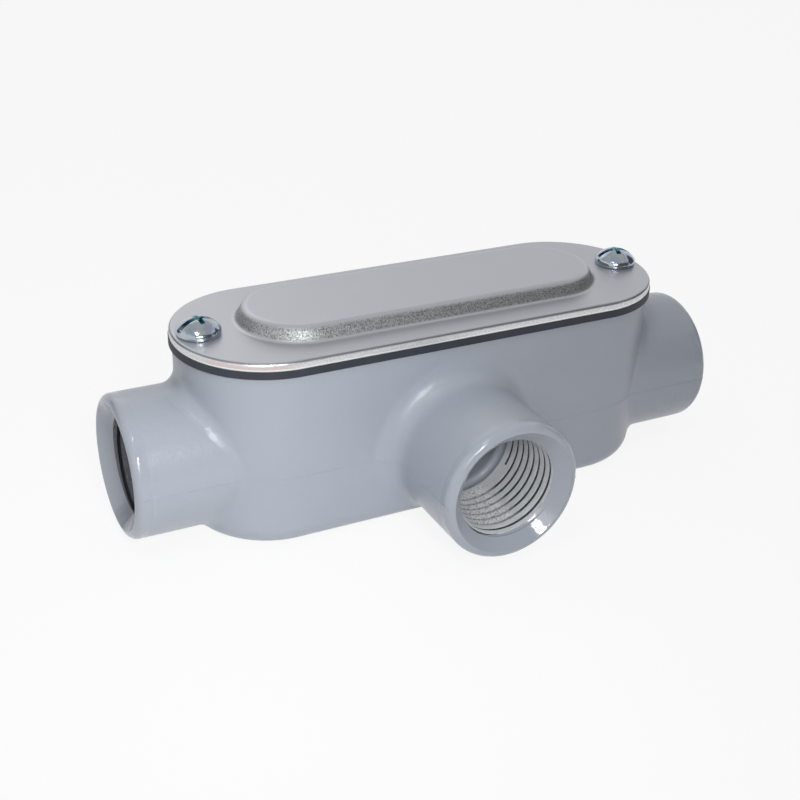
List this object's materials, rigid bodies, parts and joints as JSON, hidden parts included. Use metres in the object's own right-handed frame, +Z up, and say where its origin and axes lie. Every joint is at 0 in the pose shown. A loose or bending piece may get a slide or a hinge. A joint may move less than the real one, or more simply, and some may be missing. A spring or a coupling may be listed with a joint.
{
  "type": "conduit body",
  "caption": "Half-inch type T electrical conduit body: a straight run with threaded hubs, a side hub, and a screwed, gasketed metal cover",
  "frame": {"origin": "on the flat base, under the middle of the run", "axes": "+X along the run, -Y out of the tee hub, +Z up through the cover"},
  "size_m": [0.1204, 0.0538, 0.0404],
  "materials": {
    "grey_paint": "gloss",
    "gasket_rubber": "matte",
    "cover_sheet": "satin",
    "zinc_plate": "polished"
  },
  "bodies": {
    "casting": {"body_casting": "grey_paint"},
    "cover": {"cover_plate": "cover_sheet", "cover_gasket": "gasket_rubber"},
    "screw_left": {"cover_screw_left": "zinc_plate"},
    "screw_right": {"cover_screw_right": "zinc_plate"}
  },
  "joints": [
    {"name": "cover_lift", "type": "slide", "parent": "casting", "child": "cover", "axis": [0, 0, 1], "range_m": [0, 0.0097]},
    {"name": "screw_left_turn", "type": "hinge", "parent": "cover", "child": "screw_left", "pos_m": [-0.0437, 0, 0.03745], "axis": [0, 0, 1], "range_deg": [0, 4400]},
    {"name": "screw_right_turn", "type": "hinge", "parent": "cover", "child": "screw_right", "pos_m": [0.0437, 0, 0.03745], "axis": [0, 0, 1], "range_deg": [0, 4400]}
  ],
  "couplings": [
    {"joint": "screw_left_turn", "follows": "cover_lift", "rad_per_m": 7915.8},
    {"joint": "screw_right_turn", "follows": "cover_lift", "rad_per_m": 7915.8}
  ]
}
